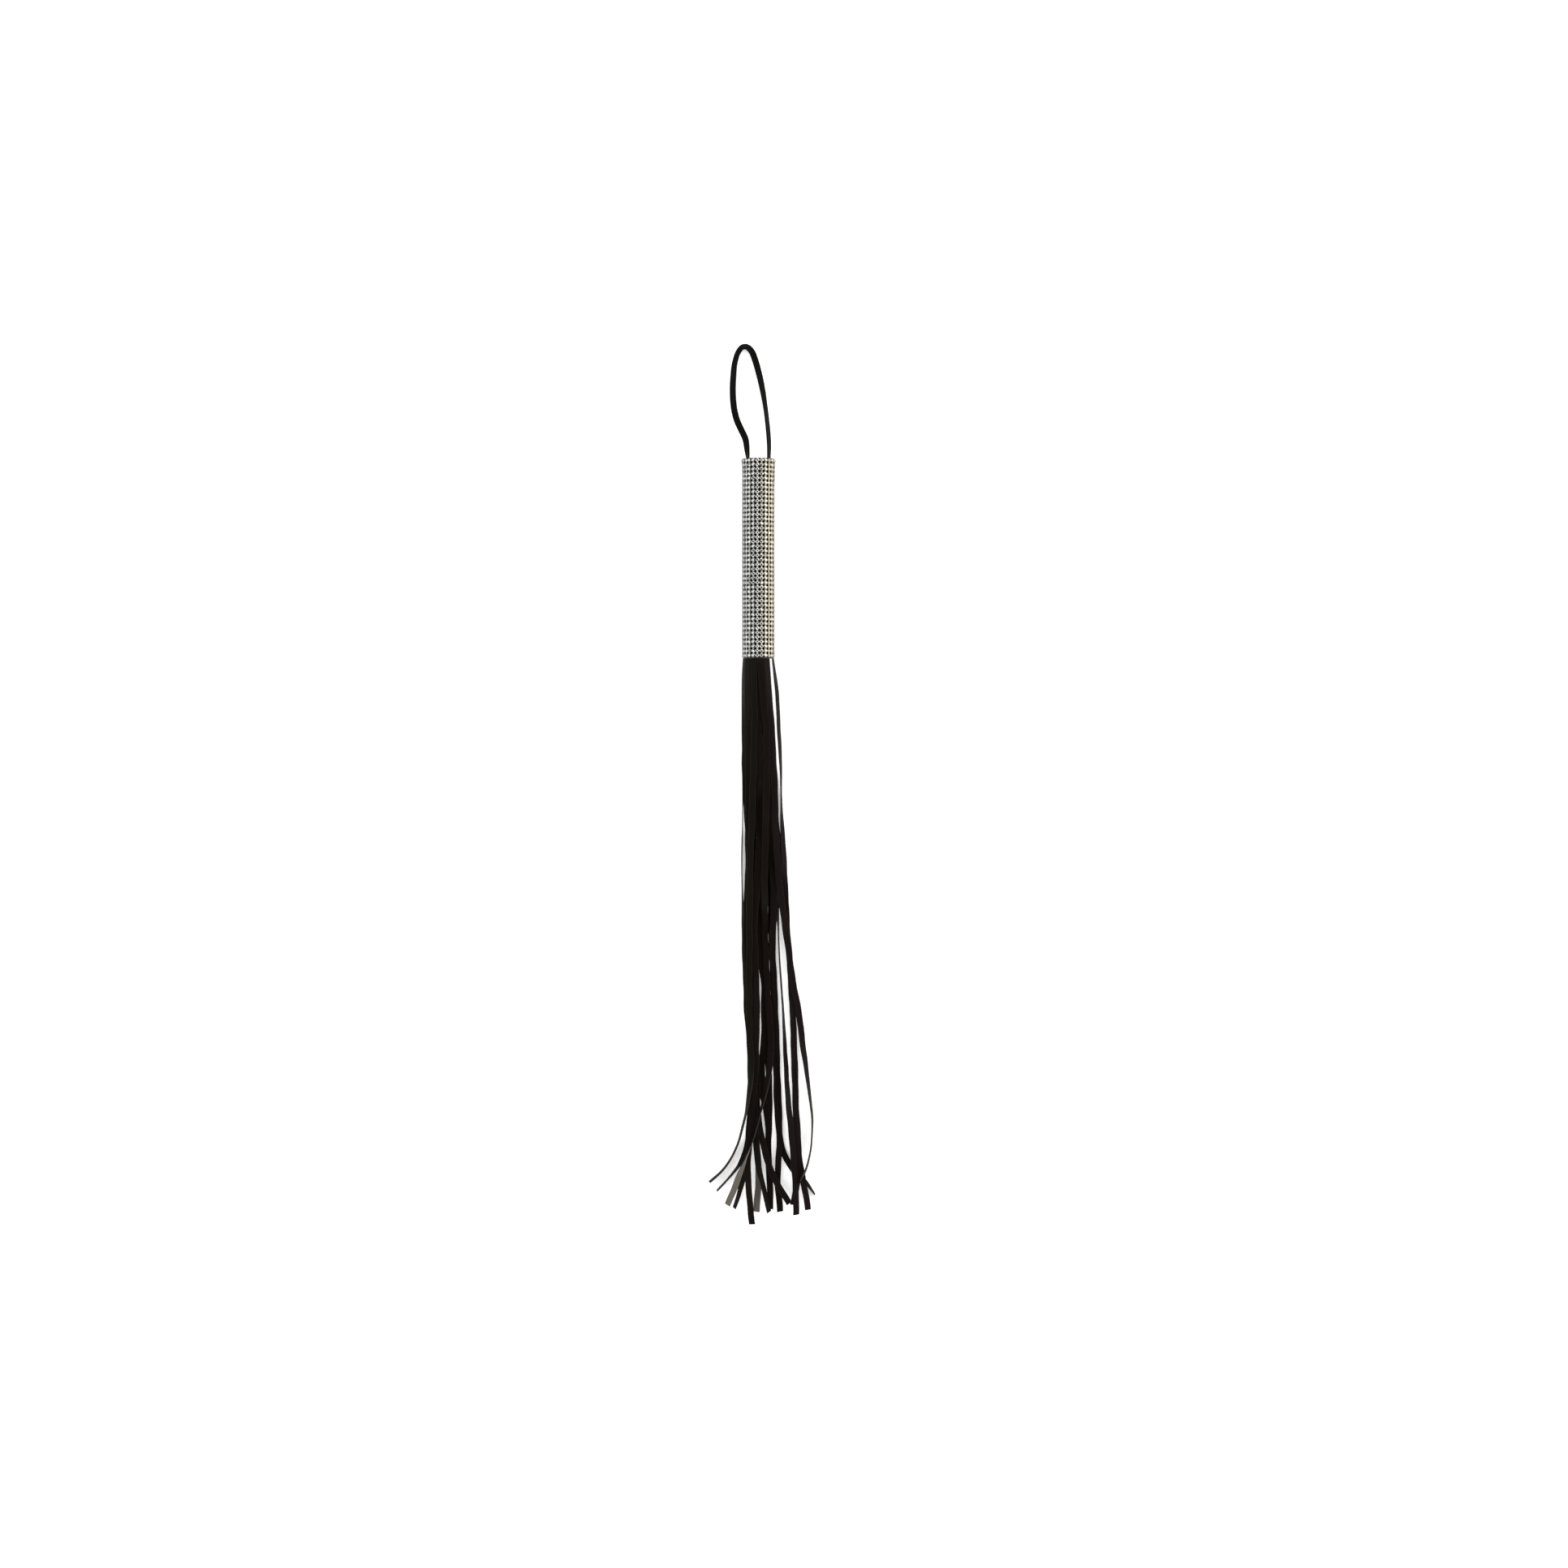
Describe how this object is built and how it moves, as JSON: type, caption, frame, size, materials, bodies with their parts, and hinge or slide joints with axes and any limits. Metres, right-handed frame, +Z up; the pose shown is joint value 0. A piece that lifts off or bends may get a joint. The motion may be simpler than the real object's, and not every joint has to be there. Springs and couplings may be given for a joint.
{
  "type": "multi-tail whip",
  "caption": "Short whip: a rigid round grip under a sleeve of small set stones, flat leatherette tails fixed round one end and a strap wrist loop at the other.",
  "frame": {"origin": "middle of the whip's footprint, on the surface that it lies on", "axes": "+Z up, +Y along the grip towards the wrist loop, with the tails towards -Y"},
  "size_m": [0.0864, 0.7098, 0.0275],
  "materials": {
    "stones": "faceted clear stones in silver metal cups",
    "black_cloth": "matt woven cloth",
    "tail_leatherette": "fine grained leatherette with low gloss",
    "loop_leatherette": "satin leatherette",
    "band_leatherette": "fine grained leatherette",
    "wood": "turned dowel",
    "cap_leather": "pressed disc",
    "tack_steel": "plain tack"
  },
  "bodies": {
    "handle": {"handle_core": "wood", "grip_wrap": "black_cloth", "stone_sleeve": "stones", "butt_cap": "cap_leather", "inner_fringe_band": "band_leatherette", "outer_fringe_band": "band_leatherette", "band_tack_1": "tack_steel", "band_tack_2": "tack_steel", "loop_end_left": "loop_leatherette", "loop_end_right": "loop_leatherette", "loop_tack_left": "tack_steel", "loop_tack_right": "tack_steel"},
    "wrist_loop": {"wrist_loop": "loop_leatherette"},
    "tail_01": {"tail_01": "tail_leatherette"},
    "tail_02": {"tail_02": "tail_leatherette"},
    "tail_03": {"tail_03": "tail_leatherette"},
    "tail_04": {"tail_04": "tail_leatherette"},
    "tail_05": {"tail_05": "tail_leatherette"},
    "tail_06": {"tail_06": "tail_leatherette"},
    "tail_07": {"tail_07": "tail_leatherette"},
    "tail_08": {"tail_08": "tail_leatherette"},
    "tail_09": {"tail_09": "tail_leatherette"},
    "tail_10": {"tail_10": "tail_leatherette"},
    "tail_11": {"tail_11": "tail_leatherette"},
    "tail_12": {"tail_12": "tail_leatherette"},
    "tail_13": {"tail_13": "tail_leatherette"},
    "tail_14": {"tail_14": "tail_leatherette"},
    "tail_15": {"tail_15": "tail_leatherette"},
    "tail_16": {"tail_16": "tail_leatherette"}
  },
  "joints": [
    {"name": "loop_lift", "type": "hinge", "parent": "handle", "child": "wrist_loop", "pos_m": [-0.00303, 0.26194, 0.01984], "axis": [1, 0, 0], "range_deg": [0, 90]},
    {"name": "tail_01_lift", "type": "hinge", "parent": "handle", "child": "tail_01", "pos_m": [-0.00408, 0.10044, 0.00213], "axis": [-1, 0, 0], "range_deg": [0, 12]},
    {"name": "tail_02_lift", "type": "hinge", "parent": "handle", "child": "tail_02", "pos_m": [0.00127, 0.10044, 0.00353], "axis": [-1, 0, 0], "range_deg": [0, 13.01]},
    {"name": "tail_03_lift", "type": "hinge", "parent": "handle", "child": "tail_03", "pos_m": [-0.00921, 0.10044, 0.00481], "axis": [-1, 0, 0], "range_deg": [0, 13.97]},
    {"name": "tail_04_lift", "type": "hinge", "parent": "handle", "child": "tail_04", "pos_m": [-0.01309, 0.10044, 0.00924], "axis": [-1, 0, 0], "range_deg": [0, 14.93]},
    {"name": "tail_05_lift", "type": "hinge", "parent": "handle", "child": "tail_05", "pos_m": [-0.01494, 0.10044, 0.01453], "axis": [-1, 0, 0], "range_deg": [0, 15.89]},
    {"name": "tail_06_lift", "type": "hinge", "parent": "handle", "child": "tail_06", "pos_m": [0.00866, 0.10044, 0.01869], "axis": [-1, 0, 0], "range_deg": [0, 16.85]},
    {"name": "tail_07_lift", "type": "hinge", "parent": "handle", "child": "tail_07", "pos_m": [-0.01311, 0.10044, 0.01924], "axis": [-1, 0, 0], "range_deg": [0, 17.81]},
    {"name": "tail_08_lift", "type": "hinge", "parent": "handle", "child": "tail_08", "pos_m": [-0.01438, 0.10044, 0.01987], "axis": [-1, 0, 0], "range_deg": [0, 18.77]},
    {"name": "tail_09_lift", "type": "hinge", "parent": "handle", "child": "tail_09", "pos_m": [0.00406, 0.10044, 0.02331], "axis": [-1, 0, 0], "range_deg": [0, 19.73]},
    {"name": "tail_10_lift", "type": "hinge", "parent": "handle", "child": "tail_10", "pos_m": [-0.00056, 0.10044, 0.02474], "axis": [-1, 0, 0], "range_deg": [0, 20.69]},
    {"name": "tail_11_lift", "type": "hinge", "parent": "handle", "child": "tail_11", "pos_m": [-0.01033, 0.10044, 0.02316], "axis": [-1, 0, 0], "range_deg": [0, 21.65]},
    {"name": "tail_12_lift", "type": "hinge", "parent": "handle", "child": "tail_12", "pos_m": [-0.01152, 0.10044, 0.024], "axis": [-1, 0, 0], "range_deg": [0, 22.61]},
    {"name": "tail_13_lift", "type": "hinge", "parent": "handle", "child": "tail_13", "pos_m": [-0.00577, 0.10044, 0.02474], "axis": [-1, 0, 0], "range_deg": [0, 23.57]},
    {"name": "tail_14_lift", "type": "hinge", "parent": "handle", "child": "tail_14", "pos_m": [0.00351, 0.10044, 0.02523], "axis": [-1, 0, 0], "range_deg": [0, 24.53]},
    {"name": "tail_15_lift", "type": "hinge", "parent": "handle", "child": "tail_15", "pos_m": [-0.00694, 0.10044, 0.026], "axis": [-1, 0, 0], "range_deg": [0, 25.49]},
    {"name": "tail_16_lift", "type": "hinge", "parent": "handle", "child": "tail_16", "pos_m": [-0.00157, 0.10044, 0.02608], "axis": [-1, 0, 0], "range_deg": [0, 26.45]}
  ],
  "couplings": [
    {"joint": "tail_02_lift", "follows": "tail_01_lift", "ratio": 1.08},
    {"joint": "tail_03_lift", "follows": "tail_01_lift", "ratio": 1.16},
    {"joint": "tail_04_lift", "follows": "tail_01_lift", "ratio": 1.24},
    {"joint": "tail_05_lift", "follows": "tail_01_lift", "ratio": 1.32},
    {"joint": "tail_06_lift", "follows": "tail_01_lift", "ratio": 1.4},
    {"joint": "tail_07_lift", "follows": "tail_01_lift", "ratio": 1.48},
    {"joint": "tail_08_lift", "follows": "tail_01_lift", "ratio": 1.56},
    {"joint": "tail_09_lift", "follows": "tail_01_lift", "ratio": 1.64},
    {"joint": "tail_10_lift", "follows": "tail_01_lift", "ratio": 1.72},
    {"joint": "tail_11_lift", "follows": "tail_01_lift", "ratio": 1.8},
    {"joint": "tail_12_lift", "follows": "tail_01_lift", "ratio": 1.88},
    {"joint": "tail_13_lift", "follows": "tail_01_lift", "ratio": 1.96},
    {"joint": "tail_14_lift", "follows": "tail_01_lift", "ratio": 2.04},
    {"joint": "tail_15_lift", "follows": "tail_01_lift", "ratio": 2.12},
    {"joint": "tail_16_lift", "follows": "tail_01_lift", "ratio": 2.2}
  ]
}
